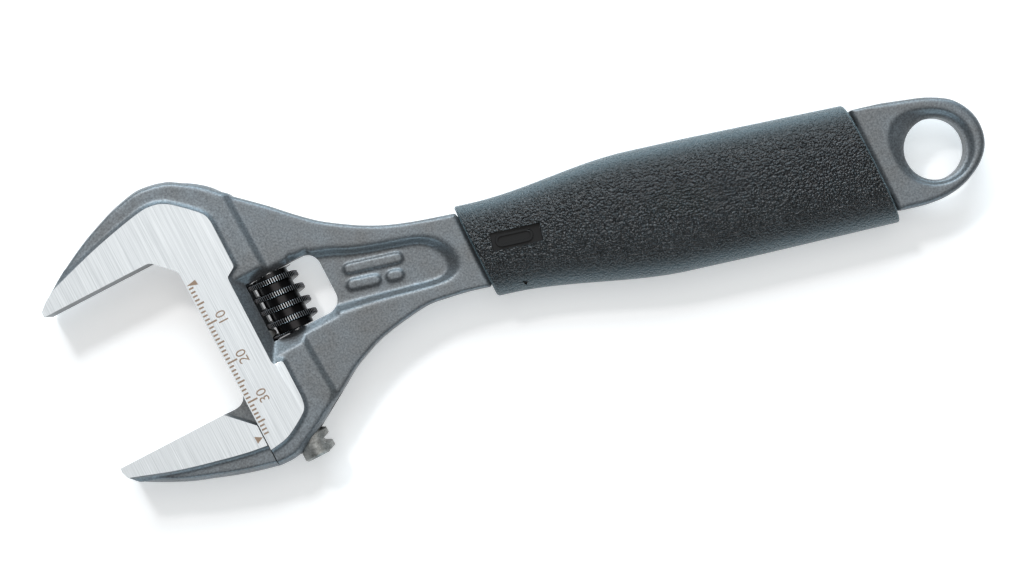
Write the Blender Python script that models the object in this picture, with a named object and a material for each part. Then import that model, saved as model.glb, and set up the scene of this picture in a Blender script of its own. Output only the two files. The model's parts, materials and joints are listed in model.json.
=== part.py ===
"""Adjustable wrench with a wide jaw, a worm-driven sliding jaw and a moulded grip sleeve.

The wrench lies flat: +X runs along the handle towards the hanging hole, +Y towards the fixed
jaw's side, +Z up. The head has a frame of its own, turned by HEAD_ANGLE: its x runs from the
mouth to the handle and its y is the way the sliding jaw closes. Both start at the scale's zero.
"""
import math

import bmesh
import bpy
from mathutils import Matrix, Vector

MM = 0.001

# Lengths along the handle, from the head's zero to the hanging hole
NECK_LENGTH = 65.9 * MM
GRIP_LENGTH = 92.9 * MM
TAIL_REACH = 14.7 * MM
HEAD_RISE = 6.2 * MM
HEAD_ANGLE = math.radians(15.0)
SHOULDER_SLANT = math.tan(math.radians(14.0))

# Head and jaws
HEAD_THICKNESS = 12.5 * MM
SHELF_STEP = 0.85 * MM
WEB_STEP = 1.0 * MM
JAW_OPENING = 38.5 * MM
CLOSED_GAP = 0.3 * MM
FIXED_FACE_Y = 8.6 * MM
JAW_REACH = 32.3 * MM
HEEL_DEPTH = 16.2 * MM
MOUTH_CHAMFER = 5.1 * MM
SHELF_EDGE_X = 18.1 * MM

# Rack, worm, pin and spring
RACK_RADIUS = 3.85 * MM
RACK_SETBACK = 9.2 * MM
RACK_TOP_ABOVE_FACE = 12.4 * MM
RACK_STICKS_OUT = 2.3 * MM
TOOTH_DEPTH = 1.85 * MM
JAW_WEB = 3.8 * MM
WEB_FILLET = 2.7 * MM
WORM_DIAMETER = 12.1 * MM
WORM_LENGTH = 14.0 * MM
WORM_TOP_Y = -6.1 * MM
WORM_LEAD = 3.2 * MM
RIDGE_CREST = 0.8 * MM
RIDGE_ROOT = 1.2 * MM
RIDGE_PHASE_Y = -7.75 * MM
PIN_DIAMETER = 4.0 * MM
THREAD_STEP = 0.5 * MM
PIN_THREAD_LENGTH = 8.5 * MM
PIN_TIP_LENGTH = 3.6 * MM
PIN_NECK_LENGTH = 1.5 * MM
DRIVER_SLOT = 0.8 * MM
SPRING_WIRE = 0.6 * MM
SPRING_TURNS = 4
SPRING_LENGTH = 4.2 * MM
WINDOW_BEHIND_AXIS = 11.7 * MM
WINDOW_CORNER = 3.2 * MM
THUMB_HOLLOW = 2.9 * MM

# Handle, grip and tail
NECK_WIDTH = 18.3 * MM
TANG_WIDTH = 16.4 * MM
TANG_THICKNESS = 6.4 * MM
RECESS_FLOOR = 4.4 * MM
GRIP_WIDTH = 29.9 * MM
GRIP_FRONT_WIDTH = 22.2 * MM
GRIP_THICKNESS = 17.4 * MM
GRIP_FRONT_THICKNESS = 13.6 * MM
TAIL_THICKNESS = 8.0 * MM
TAIL_RADIUS = 11.6 * MM
HOLE_RADIUS = 7.1 * MM
EYE_RING_RADIUS = 9.0 * MM
EYE_RING_DEPTH = 0.7 * MM

# Clearances
FIT_GAP = 0.3 * MM
SLIDE_GAP = 0.15 * MM
SHOULDER_GAP = 0.5 * MM

# Places that follow from the sizes above
SHELF_THICKNESS = HEAD_THICKNESS - 2 * SHELF_STEP
WEB_THICKNESS = SHELF_THICKNESS - 2 * WEB_STEP
PIN_THREAD_DIAMETER = PIN_DIAMETER + 2 * THREAD_STEP
GRIP_REAR_X = -TAIL_REACH
GRIP_FRONT_X = GRIP_REAR_X - GRIP_LENGTH
HEAD_X = GRIP_FRONT_X - NECK_LENGTH
SLIDING_FACE_Y = FIXED_FACE_Y - JAW_OPENING
JAW_TRAVEL = JAW_OPENING - CLOSED_GAP
HEEL_Y = SLIDING_FACE_Y - HEEL_DEPTH
RACK_TOP_Y = SLIDING_FACE_Y + RACK_TOP_ABOVE_FACE
RACK_BOTTOM_Y = HEEL_Y - RACK_STICKS_OUT
RACK_TIP_X = RACK_SETBACK + RACK_RADIUS
WORM_RADIUS = WORM_DIAMETER / 2
WORM_AXIS_X = RACK_TIP_X - TOOTH_DEPTH + FIT_GAP + WORM_RADIUS
WORM_CORE_RADIUS = WORM_AXIS_X - RACK_TIP_X - FIT_GAP
WORM_END_Y = WORM_TOP_Y - WORM_LENGTH
WINDOW_TOP_Y = WORM_TOP_Y + FIT_GAP
WINDOW_END_Y = WORM_END_Y - FIT_GAP
WINDOW_LEFT_X = WORM_AXIS_X - WORM_RADIUS
WINDOW_RIGHT_X = WORM_AXIS_X + WINDOW_BEHIND_AXIS
BORE_RADIUS = RACK_RADIUS + SLIDE_GAP
SLOT_WIDTH = JAW_WEB + 2 * FIT_GAP
SLOT_TOP_Y = SLIDING_FACE_Y + WEB_FILLET + JAW_TRAVEL + FIT_GAP
PIN_TOP_Y = WINDOW_TOP_Y + PIN_TIP_LENGTH
THREAD_TOP_Y = WINDOW_END_Y - PIN_NECK_LENGTH
PIN_END_Y = THREAD_TOP_Y - PIN_THREAD_LENGTH
SPRING_RADIUS = PIN_DIAMETER / 2 + FIT_GAP + SPRING_WIRE / 2
COUNTERBORE_RADIUS = SPRING_RADIUS + SPRING_WIRE / 2 + FIT_GAP
CUT_MARGIN = 20 * MM

HEAD_TO_WORLD = (
    Matrix.Translation((HEAD_X, HEAD_RISE, 0.0))
    @ Matrix.Rotation(HEAD_ANGLE, 4, "Z")
)


# ---------------------------------------------------------------- tools

def clear_scene():
    for old in list(bpy.data.objects):
        bpy.data.objects.remove(old, do_unlink=True)


def make_material(name, colour, roughness, metallic):
    material = bpy.data.materials.new(name)
    material.use_nodes = True
    shader = material.node_tree.nodes["Principled BSDF"]
    shader.inputs["Base Color"].default_value = (*colour, 1.0)
    shader.inputs["Roughness"].default_value = roughness
    shader.inputs["Metallic"].default_value = metallic
    return material


def curve_through(knots, steps=3):
    """Points on a smooth curve through the knots; two knots give a straight edge."""
    if len(knots) < 3:
        return [Vector(knot) for knot in knots]
    ends = [Vector(knots[0]) * 2 - Vector(knots[1]), Vector(knots[-1]) * 2 - Vector(knots[-2])]
    line = [ends[0]] + [Vector(knot) for knot in knots] + [ends[1]]
    points = []
    for before, start, stop, after in zip(line, line[1:], line[2:], line[3:]):
        for step in range(steps):
            t = step / steps
            slope = (stop - before) * t
            bend = (before * 2 - start * 5 + stop * 4 - after) * t * t
            twist = (start * 3 - before - stop * 3 + after) * t ** 3
            points.append((start * 2 + slope + bend + twist) / 2)
    points.append(Vector(knots[-1]))
    return points


def outline(*runs):
    """Join smooth runs of knots into one closed outline, with a corner wherever runs meet."""
    points = []
    for run in runs:
        points.extend(curve_through(run))
    return points


def head_points(knots):
    """Head-frame knots as points of the wrench's own frame."""
    moved = [HEAD_TO_WORLD @ Vector((x, y, 0.0)) for x, y in knots]
    return [point.to_2d() for point in moved]


def loft(name, layers):
    """A closed solid through outlines with equally many points, each at its own height."""
    shape = bmesh.new()
    rings = []
    for points, height in layers:
        rings.append([shape.verts.new((x, y, height)) for x, y in points])
    for low, high in zip(rings, rings[1:]):
        for index, corner in enumerate(low):
            following = (index + 1) % len(low)
            shape.faces.new((corner, low[following], high[following], high[index]))
    shape.faces.new(rings[0][::-1])
    shape.faces.new(rings[-1])
    return finish_mesh(name, shape)


def slab(name, points, thickness, edge=0.0):
    """A plate centred on the mid-plane; edge is the width of the chamfer round its rims."""
    plate = loft(name, [(points, -thickness / 2), (points, thickness / 2)])
    if edge:
        bevel = plate.modifiers.new("rim", "BEVEL")
        bevel.width = edge
        bevel.segments = 1
        bevel.limit_method = "ANGLE"
        bevel.angle_limit = math.radians(60.0)
    return plate


def turned(name, profile, sides=32):
    """A solid of revolution about +Y: profile is (radius, y) from one end to the other."""
    shape = bmesh.new()
    rings = []
    for radius, along in profile:
        ring = []
        for side in range(sides):
            angle = 2 * math.pi * side / sides
            ring.append(shape.verts.new((radius * math.sin(angle), along, radius * math.cos(angle))))
        rings.append(ring)
    skin_rings(shape, rings)
    return finish_mesh(name, shape)


def skin_rings(shape, rings):
    """Side faces between neighbouring rings and a cap on each end."""
    for low, high in zip(rings, rings[1:]):
        for index in range(len(low)):
            following = (index + 1) % len(low)
            shape.faces.new((low[index], low[following], high[following], high[index]))
    shape.faces.new(rings[0][::-1])
    shape.faces.new(rings[-1])


def finish_mesh(name, shape):
    bmesh.ops.recalc_face_normals(shape, faces=shape.faces)
    mesh = bpy.data.meshes.new(name)
    shape.to_mesh(mesh)
    shape.free()
    thing = bpy.data.objects.new(name, mesh)
    bpy.context.scene.collection.objects.link(thing)
    return thing


def combine(target, tool, operation):
    """Add or cut with another object, which is then only a guide."""
    boolean = target.modifiers.new(tool.name, "BOOLEAN")
    boolean.operation = operation
    boolean.object = tool
    boolean.solver = "EXACT"
    tool.hide_render = True
    tool.display_type = "WIRE"
    tool.parent = target.parent


def finish(thing, material, smooth_angle=35.0):
    thing.data.materials.append(material)
    thing.data.shade_smooth()
    thing.data.set_sharp_from_angle(angle=math.radians(smooth_angle))
    return thing


def superellipse(half_width, half_height, sides, power):
    """A closed section in Y and Z, rounder for a low power and squarer for a high one."""
    points = []
    for side in range(sides):
        angle = 2 * math.pi * (side + 0.5) / sides
        across = math.copysign(abs(math.cos(angle)) ** (2 / power), math.cos(angle))
        upward = math.copysign(abs(math.sin(angle)) ** (2 / power), math.sin(angle))
        points.append((half_width * across, half_height * upward))
    return points


def slanted_ring(shape, x, section, drop=0.0):
    """A section's vertices, leaning with the slanted shoulders of the handle."""
    ring = []
    for y, z in section:
        ring.append(shape.verts.new((x - (y - drop) * SHOULDER_SLANT, y - drop, z)))
    return ring


# ---------------------------------------------------------------- body

def neck_knots(table):
    """Knots given as share of the neck's length from the grip, and height off the centreline."""
    return [(GRIP_FRONT_X - share * NECK_LENGTH, height) for share, height in table]


def jaw_back(inset):
    """Outer edge of the fixed jaw and the head's top, from the neck to the jaw's tip."""
    knots = [
        (15.1 * MM, 17.7 * MM), (12.6 * MM, 19.8 * MM), (8.1 * MM, 22.8 * MM),
        (3.3 * MM, 24.4 * MM), (-1.8 * MM, 24.6 * MM), (-0.23 * JAW_REACH, 23.5 * MM),
        (-0.40 * JAW_REACH, 21.5 * MM), (-0.585 * JAW_REACH, 19.2 * MM),
        (-0.75 * JAW_REACH, 16.1 * MM), (-0.95 * JAW_REACH, 12.2 * MM),
    ]
    return [(x - inset * 0.4, y - inset) for x, y in knots]


def heel_edge(inset):
    """Edge of the head below the mouth, from the mouth's wall to the neck."""
    knots = [
        (-0.7 * MM, 0.0), (3.2 * MM, 0.0), (5.4 * MM, 0.4 * MM), (7.7 * MM, 1.4 * MM),
        (12.6 * MM, 3.9 * MM), (17.2 * MM, 6.7 * MM),
    ]
    return [(x - inset * 0.4, HEEL_Y + rise + inset) for x, rise in knots]


def forging_outline():
    lower_neck = neck_knots([
        (0.493, -20.4 * MM), (0.390, -15.3 * MM), (0.314, -12.8 * MM), (0.206, -10.0 * MM),
    ])
    upper_neck = neck_knots([
        (0.200, 9.6 * MM), (0.282, 10.1 * MM), (0.435, 12.6 * MM), (0.588, 17.1 * MM),
        (0.746, 22.9 * MM),
    ])
    half = NECK_WIDTH / 2
    low_shoulder = (GRIP_FRONT_X - FIT_GAP + half * SHOULDER_SLANT, -half)
    high_shoulder = (GRIP_FRONT_X - FIT_GAP - half * SHOULDER_SLANT, half)
    return outline(
        head_points([(-3 * MM, HEEL_Y)]),
        head_points(heel_edge(0.0)) + lower_neck + [low_shoulder],
        [high_shoulder] + upper_neck + head_points(jaw_back(0.0)),
        head_points([(-JAW_REACH - 0.1 * MM, 10.6 * MM), (-JAW_REACH, FIXED_FACE_Y - 2 * MM)]),
        head_points([(-3 * MM, 0.0)]),
    )


def shelf_outline():
    inset = 0.8 * MM
    return outline(
        head_points([(-3 * MM, HEEL_Y + inset)]),
        head_points(heel_edge(inset)),
        head_points([(SHELF_EDGE_X, HEEL_Y + 9 * MM), (SHELF_EDGE_X, 13 * MM)]),
        head_points(jaw_back(inset)),
        head_points([(-JAW_REACH, 10.4 * MM), (-JAW_REACH, FIXED_FACE_Y - 2 * MM)]),
        head_points([(-3 * MM, 0.0)]),
    )


def ground_face_outline():
    """The raised face that is ground flat, with its step back beside the worm."""
    step = 2.4 * MM
    outer_x = WINDOW_LEFT_X + 0.2 * MM
    return outline(
        head_points([(-3 * MM, HEEL_Y + 4.2 * MM)]),
        head_points([
            (0.4 * MM, HEEL_Y + 4.3 * MM), (4.8 * MM, HEEL_Y + 5.2 * MM),
            (9.7 * MM, HEEL_Y + 8.0 * MM), (outer_x, HEEL_Y + 11.0 * MM),
        ]),
        head_points([(outer_x, WINDOW_END_Y - 4.5 * MM)]),
        head_points([(outer_x - step, WINDOW_END_Y - 3.0 * MM)]),
        head_points([(outer_x - step, WINDOW_TOP_Y + 3.2 * MM)]),
        head_points([(outer_x, WINDOW_TOP_Y + 5.1 * MM)]),
        head_points([
            (outer_x, 10.4 * MM), (11.1 * MM, 12.5 * MM), (7.0 * MM, 16.6 * MM),
            (1.7 * MM, 19.7 * MM), (-2.5 * MM, 19.6 * MM), (-0.42 * JAW_REACH, 17.2 * MM),
            (-0.77 * JAW_REACH, 13.9 * MM), (-0.93 * JAW_REACH, 12.1 * MM),
        ]),
        head_points([(-0.99 * JAW_REACH, 10.5 * MM), (-0.98 * JAW_REACH, FIXED_FACE_Y - 2 * MM)]),
        head_points([(-3 * MM, 0.0)]),
    )


def tail_outline():
    """The hanging eye: a nose round the hole that widens to the grip's rear shoulder."""
    nose = [
        (-129.0, 1.345), (-91.0, 0.983), (-50.0, 0.90), (-13.8, 0.977), (11.3, 1.01),
        (40.5, 1.02), (71.6, 1.009), (111.0, 1.146), (127.5, 1.39),
    ]
    knots = []
    for degrees, share in nose:
        angle = math.radians(degrees)
        knots.append((share * TAIL_RADIUS * math.cos(angle), share * TAIL_RADIUS * math.sin(angle)))
    rear = GRIP_REAR_X + SHOULDER_GAP
    low = 1.045 * TAIL_RADIUS
    high = 1.08 * TAIL_RADIUS
    return outline(
        [(rear - high * SHOULDER_SLANT, high)],
        [(rear + low * SHOULDER_SLANT, -low)],
        knots,
    )


def tang():
    """The part of the handle inside the grip, running well into the neck and the tail."""
    shape = bmesh.new()
    section = superellipse(TANG_WIDTH / 2, TANG_THICKNESS / 2, 24, 6)
    stations = (GRIP_FRONT_X - 4 * MM, GRIP_REAR_X + 4 * MM)
    skin_rings(shape, [slanted_ring(shape, x, section) for x in stations])
    return finish_mesh("tang_guide", shape)


def mouth_cutter():
    deep = 3 * CUT_MARGIN
    left = -JAW_REACH - CUT_MARGIN
    return slab("mouth_cutter", outline(head_points([
        (0.0, HEEL_Y - deep), (0.0, FIXED_FACE_Y - MOUTH_CHAMFER),
    ]), head_points([
        (-MOUTH_CHAMFER, FIXED_FACE_Y), (left, FIXED_FACE_Y),
    ]), head_points([(left, HEEL_Y - deep)])), 2 * HEAD_THICKNESS)


def rack_bore_cutter():
    length = CUT_MARGIN * 3 - HEEL_Y
    bore = turned("rack_bore_cutter", [(BORE_RADIUS, -length), (BORE_RADIUS, 2 * CUT_MARGIN)], 36)
    bore.matrix_world = HEAD_TO_WORLD @ Matrix.Translation((RACK_SETBACK, 0.0, 0.0))
    return bore


def slot_cutter():
    low = HEEL_Y - CUT_MARGIN
    return slab("web_slot_cutter", head_points([
        (-MOUTH_CHAMFER - FIT_GAP, low), (RACK_SETBACK, low),
        (RACK_SETBACK, SLOT_TOP_Y), (-MOUTH_CHAMFER - FIT_GAP, SLOT_TOP_Y),
    ]), SLOT_WIDTH)


def rounded_box(left, right, low, high, corner, grow=0.0):
    """Window outline: square on the rack's side, rounded towards the handle."""
    arcs = []
    for middle_y, start in ((low + corner, -90), (high - corner, 0)):
        for step in range(5):
            angle = math.radians(start + 22.5 * step)
            reach = corner + grow
            arcs.append((right - corner + reach * math.cos(angle), middle_y + reach * math.sin(angle)))
    return [(left - grow, low - grow)] + arcs + [(left - grow, high + grow)]


def window_cutter():
    points = rounded_box(WINDOW_LEFT_X, WINDOW_RIGHT_X, WINDOW_END_Y, WINDOW_TOP_Y, WINDOW_CORNER)
    return slab("worm_window_cutter", head_points(points), 2 * HEAD_THICKNESS)


def thumb_hollow_cutter(side):
    """A sloping hollow round the window on one face, so a thumb reaches the worm."""
    layers = []
    for grow, height in ((-0.5 * MM, 3.2 * MM), (THUMB_HOLLOW, 6.4 * MM)):
        points = rounded_box(WINDOW_LEFT_X + 2 * MM, WINDOW_RIGHT_X, WINDOW_END_Y, WINDOW_TOP_Y,
                             WINDOW_CORNER, grow)
        layers.append((head_points(points), side * height))
    return loft(f"thumb_hollow_cutter_{side:+d}", layers)


def recess_cutter(side):
    """The long hollow that leaves the neck with a raised rim, on one face."""
    rim = [
        (0.643, 8.9), (0.507, 8.5), (0.355, 7.0), (0.203, 6.5), (0.143, 5.7), (0.102, 4.3),
        (0.070, 2.2), (0.053, -0.5), (0.047, -3.0), (0.077, -4.9), (0.127, -5.9),
        (0.203, -6.3), (0.355, -6.8), (0.507, -7.9), (0.643, -8.8),
    ]
    floor = [
        (0.643, 5.9), (0.507, 5.6), (0.355, 4.5), (0.203, 4.1), (0.163, 3.2), (0.143, 2.3),
        (0.127, 1.0), (0.115, -0.9), (0.121, -2.6), (0.147, -4.0), (0.175, -4.4),
        (0.203, -4.5), (0.355, -4.6), (0.507, -4.9), (0.643, -5.2),
    ]
    layers = []
    for table, height in ((floor, RECESS_FLOOR / 2), (rim, WEB_THICKNESS / 2 + 0.05 * MM)):
        knots = neck_knots([(share, v * MM) for share, v in table])
        layers.append((curve_through(knots, 2), side * height))
    top_points = layers[1][0]
    layers.append((top_points, side * (WEB_THICKNESS / 2 + 3 * MM)))
    return loft(f"recess_cutter_{side:+d}", layers)


def pin_hole_cutter():
    plain = PIN_DIAMETER / 2 + FIT_GAP
    tapped = PIN_THREAD_DIAMETER / 2 + FIT_GAP
    hole = turned("pin_hole_cutter", [
        (plain, PIN_TOP_Y + FIT_GAP), (plain, THREAD_TOP_Y + FIT_GAP),
        (tapped, THREAD_TOP_Y + FIT_GAP), (tapped, HEEL_Y - CUT_MARGIN),
    ], 24)
    hole.matrix_world = HEAD_TO_WORLD @ Matrix.Translation((WORM_AXIS_X, 0.0, 0.0))
    return hole


def circle(radius, sides=48):
    turns = [2 * math.pi * side / sides for side in range(sides)]
    return [(radius * math.cos(turn), radius * math.sin(turn)) for turn in turns]


def eye_ring_cutter(side):
    """A shallow dished ring round the hanging hole, on one face."""
    face = TAIL_THICKNESS / 2
    return loft(f"eye_ring_cutter_{side:+d}", [
        (circle(HOLE_RADIUS), side * (face - EYE_RING_DEPTH)),
        (circle(EYE_RING_RADIUS), side * face),
        (circle(EYE_RING_RADIUS), side * (face + 1 * MM)),
    ])


def build_body(material):
    body = slab("forged_body", forging_outline(), WEB_THICKNESS, 1.0 * MM)
    combine(body, slab("shelf_guide", shelf_outline(), SHELF_THICKNESS, 0.5 * MM), "UNION")
    combine(body, slab("ground_face_guide", ground_face_outline(), HEAD_THICKNESS), "UNION")
    combine(body, tang(), "UNION")
    combine(body, slab("tail_guide", tail_outline(), TAIL_THICKNESS, 0.8 * MM), "UNION")
    for side in (1, -1):
        combine(body, recess_cutter(side), "DIFFERENCE")
        combine(body, thumb_hollow_cutter(side), "DIFFERENCE")
        combine(body, eye_ring_cutter(side), "DIFFERENCE")
    combine(body, mouth_cutter(), "DIFFERENCE")
    combine(body, window_cutter(), "DIFFERENCE")
    combine(body, rack_bore_cutter(), "DIFFERENCE")
    combine(body, slot_cutter(), "DIFFERENCE")
    combine(body, pin_hole_cutter(), "DIFFERENCE")
    combine(body, slab("hanging_hole_cutter", circle(HOLE_RADIUS), 2 * TAIL_THICKNESS), "DIFFERENCE")
    return finish(body, material)


# ---------------------------------------------------------------- sliding jaw

def jaw_outline(inset):
    """Blade of the sliding jaw, with its top corner chamfered where it meets the head."""
    face = SLIDING_FACE_Y
    back = [
        (-0.88 * JAW_REACH, -5.8 * MM), (-0.74 * JAW_REACH, -8.2 * MM),
        (-0.595 * JAW_REACH, -10.3 * MM), (-0.446 * JAW_REACH, -12.1 * MM),
        (-0.30 * JAW_REACH, -13.7 * MM), (-0.152 * JAW_REACH, -15.1 * MM),
        (-FIT_GAP, -HEEL_DEPTH),
    ]
    corner = MOUTH_CHAMFER + 0.8 * MM
    return outline(
        head_points([(-corner, face), (-JAW_REACH, face)]),
        head_points([(-JAW_REACH, face - 2.4 * MM + 0.3 * inset)]),
        head_points([(x, face + y + inset) for x, y in back]),
        head_points([(-FIT_GAP, face - corner)]),
    )


def jaw_web():
    """The thin plate that joins the blade to the rack through the head's slot."""
    face = SLIDING_FACE_Y
    return slab("jaw_web_guide", outline(
        head_points([
            (-WEB_FILLET - 0.3 * MM, face), (-0.35 * WEB_FILLET, face + 0.4 * WEB_FILLET),
            (FIT_GAP, face + WEB_FILLET),
        ]),
        head_points([(RACK_SETBACK, face + WEB_FILLET)]),
        head_points([(RACK_SETBACK, face - HEEL_DEPTH)]),
        head_points([(-2 * MM, face - HEEL_DEPTH + 1.2 * MM), (-6 * MM, face - 8 * MM)]),
    ), JAW_WEB)


def rack_rod():
    """The round rail that slides in the head's bore."""
    rim = 0.5 * MM
    rod = turned("rack_rod_guide", [
        (RACK_RADIUS - rim, RACK_BOTTOM_Y), (RACK_RADIUS, RACK_BOTTOM_Y + rim),
        (RACK_RADIUS, RACK_TOP_Y - rim), (RACK_RADIUS - rim, RACK_TOP_Y),
    ])
    rod.matrix_world = HEAD_TO_WORLD @ Matrix.Translation((RACK_SETBACK, 0.0, 0.0))
    return rod


def tooth_space_cutter(index):
    """One tooth space, leaning by the worm's lead angle."""
    crest = WORM_LEAD - RIDGE_CREST - 2 * FIT_GAP
    root_width = WORM_LEAD - crest
    tip_width = root_width + RIDGE_ROOT - RIDGE_CREST
    root_x = RACK_TIP_X - TOOTH_DEPTH
    far = RACK_TIP_X + 1 * MM
    section = [
        (root_x, -root_width / 2), (far, -tip_width / 2), (far, tip_width / 2),
        (root_x, root_width / 2),
    ]
    shape = bmesh.new()
    rings = []
    for height in (-1.2 * RACK_RADIUS, 1.2 * RACK_RADIUS):
        rings.append([shape.verts.new((x, y, height)) for x, y in section])
    skin_rings(shape, rings)
    cutter = finish_mesh(f"tooth_space_cutter_{index}", shape)
    lead_angle = math.atan(WORM_LEAD / (2 * math.pi * (WORM_AXIS_X - RACK_TIP_X)))
    middle_y = ridge_y_at_rack() - index * WORM_LEAD
    cutter.matrix_world = (
        HEAD_TO_WORLD
        @ Matrix.Translation((0.0, middle_y, 0.0))
        @ Matrix.Rotation(lead_angle, 4, "X")
    )
    return cutter


def ridge_y_at_rack():
    """Height of the worm's first ridge where it faces the rack, a quarter turn off its front."""
    return RIDGE_PHASE_Y + WORM_LEAD / 4


def build_sliding_jaw(material):
    jaw = slab("sliding_jaw", jaw_outline(0.0), WEB_THICKNESS, 0.8 * MM)
    combine(jaw, slab("jaw_face_guide", jaw_outline(4.5 * MM), HEAD_THICKNESS), "UNION")
    combine(jaw, jaw_web(), "UNION")
    combine(jaw, rack_rod(), "UNION")
    first = math.ceil((ridge_y_at_rack() - RACK_TOP_Y) / WORM_LEAD)
    last = math.ceil((ridge_y_at_rack() - RACK_BOTTOM_Y) / WORM_LEAD)
    for index in range(first, last + 1):
        combine(jaw, tooth_space_cutter(index), "DIFFERENCE")
    return finish(jaw, material)


# ---------------------------------------------------------------- worm, pin and spring

def helix_ridge():
    """The single left-hand ridge, longer than the worm and trimmed to it afterwards."""
    segments = 24
    turns = math.ceil(WORM_LENGTH / WORM_LEAD) + 2
    buried = WORM_CORE_RADIUS - 0.7 * MM
    flank = (RIDGE_ROOT - RIDGE_CREST) / (WORM_RADIUS - WORM_CORE_RADIUS)
    foot = RIDGE_CREST / 2 + flank * (WORM_RADIUS - buried) / 2
    section = [
        (buried, -foot), (WORM_RADIUS, -RIDGE_CREST / 2),
        (WORM_RADIUS, RIDGE_CREST / 2), (buried, foot),
    ]
    shape = bmesh.new()
    rings = []
    for step in range(turns * segments + 1):
        turn = step / segments - 1
        angle = 2 * math.pi * turn
        centre_y = RIDGE_PHASE_Y - turn * WORM_LEAD
        ring = []
        for radius, along in section:
            ring.append(shape.verts.new((
                radius * math.sin(angle), centre_y + along, radius * math.cos(angle))))
        rings.append(ring)
    skin_rings(shape, rings)
    return finish_mesh("worm_ridge_guide", shape)


def build_worm(material):
    worm = turned("adjusting_worm", [
        (WORM_CORE_RADIUS, WORM_END_Y), (WORM_CORE_RADIUS, WORM_TOP_Y),
    ])
    bore = PIN_DIAMETER / 2 + FIT_GAP
    counterbore_end = WINDOW_END_Y + SPRING_LENGTH + 2 * FIT_GAP
    hole = turned("worm_bore_cutter", [
        (bore, WORM_TOP_Y + 2 * MM), (bore, counterbore_end),
        (COUNTERBORE_RADIUS, counterbore_end), (COUNTERBORE_RADIUS, WORM_END_Y - 2 * MM),
    ], 24)
    trim = turned("worm_trim_guide", [
        (2 * WORM_RADIUS, WORM_END_Y), (2 * WORM_RADIUS, WORM_TOP_Y),
    ], 16)
    combine(worm, helix_ridge(), "UNION")
    combine(worm, trim, "INTERSECT")
    combine(worm, hole, "DIFFERENCE")
    return finish(worm, material)


def build_pin(material):
    half = PIN_DIAMETER / 2
    threaded = PIN_THREAD_DIAMETER / 2
    rim = 0.4 * MM
    pin = turned("worm_pin", [
        (half - rim, PIN_TOP_Y), (half, PIN_TOP_Y - rim), (half, THREAD_TOP_Y),
        (threaded, THREAD_TOP_Y - rim), (threaded, PIN_END_Y + rim), (threaded - rim, PIN_END_Y),
    ], 24)
    width = PIN_THREAD_DIAMETER
    slot = slab("driver_slot_cutter", [
        (-width, PIN_END_Y - 1 * MM), (width, PIN_END_Y - 1 * MM),
        (width, PIN_END_Y + 1.2 * MM), (-width, PIN_END_Y + 1.2 * MM),
    ], DRIVER_SLOT)
    combine(pin, slot, "DIFFERENCE")
    return finish(pin, material)


def build_spring(material):
    """A light compression spring round the pin that takes up the worm's end play."""
    sides = 8
    per_turn = 20
    travel = SPRING_LENGTH - SPRING_WIRE
    low = WINDOW_END_Y + FIT_GAP + SPRING_WIRE / 2
    shape = bmesh.new()
    rings = []
    for step in range(SPRING_TURNS * per_turn + 1):
        turn = step / per_turn
        angle = 2 * math.pi * turn
        outward = Vector((math.sin(angle), 0.0, math.cos(angle)))
        centre = outward * SPRING_RADIUS + Vector((0.0, low + travel * turn / SPRING_TURNS, 0.0))
        ring = []
        for side in range(sides):
            around = 2 * math.pi * side / sides
            offset = outward * math.cos(around) + Vector((0.0, math.sin(around), 0.0))
            ring.append(shape.verts.new(centre + offset * (SPRING_WIRE / 2)))
        rings.append(ring)
    skin_rings(shape, rings)
    return finish(finish_mesh("worm_spring", shape), material)


# ---------------------------------------------------------------- grip

def swell(share):
    """0 at the grip's waist behind the neck, rising smoothly to 1 at its full section."""
    t = min(max((share - 0.04) / 0.42, 0.0), 1.0)
    return t * t * (3 - 2 * t)


def grip_ring(shape, share, shrink):
    full = swell(share)
    width = GRIP_FRONT_WIDTH + (GRIP_WIDTH - GRIP_FRONT_WIDTH) * full
    thickness = GRIP_FRONT_THICKNESS + (GRIP_THICKNESS - GRIP_FRONT_THICKNESS) * full
    rear_taper = 1.2 * MM * max(share - 0.6, 0.0)
    section = superellipse(width / 2 - shrink - rear_taper, thickness / 2 - shrink - rear_taper, 32, 3.2)
    return slanted_ring(shape, GRIP_FRONT_X + share * GRIP_LENGTH, section, 0.2 * MM)


def tunnel_ring(shape, share):
    """The tunnel clears the tang all round by the fit gap."""
    section = superellipse(TANG_WIDTH / 2 + FIT_GAP, TANG_THICKNESS / 2 + FIT_GAP, 32, 6)
    return slanted_ring(shape, GRIP_FRONT_X + share * GRIP_LENGTH, section)


def build_grip(material):
    """A closed sleeve: outer skin with rounded lips, and the tunnel that the tang fills."""
    shape = bmesh.new()
    lip = 0.8 * MM
    lip_share = lip / GRIP_LENGTH
    outer = [grip_ring(shape, 0.0, lip)]
    inner_shares = [step / 12 for step in range(13)]
    for share in inner_shares:
        kept = min(max(share, lip_share), 1 - lip_share)
        outer.append(grip_ring(shape, kept, 0.0))
    outer.append(grip_ring(shape, 1.0, lip))
    inner = [tunnel_ring(shape, 1.0), tunnel_ring(shape, 0.0)]
    loop = outer + inner + [outer[0]]
    for low, high in zip(loop, loop[1:]):
        for index in range(len(low)):
            following = (index + 1) % len(low)
            shape.faces.new((low[index], low[following], high[following], high[index]))
    return finish(finish_mesh("grip_sleeve", shape), material)


# ---------------------------------------------------------------- assembly

def hang_from(parent, thing):
    """Parent a piece and the guides that shape it, keeping their places in the parent's frame."""
    guides = [modifier.object for modifier in thing.modifiers if modifier.type == "BOOLEAN"]
    for piece in [thing] + guides:
        piece.parent = parent


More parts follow.
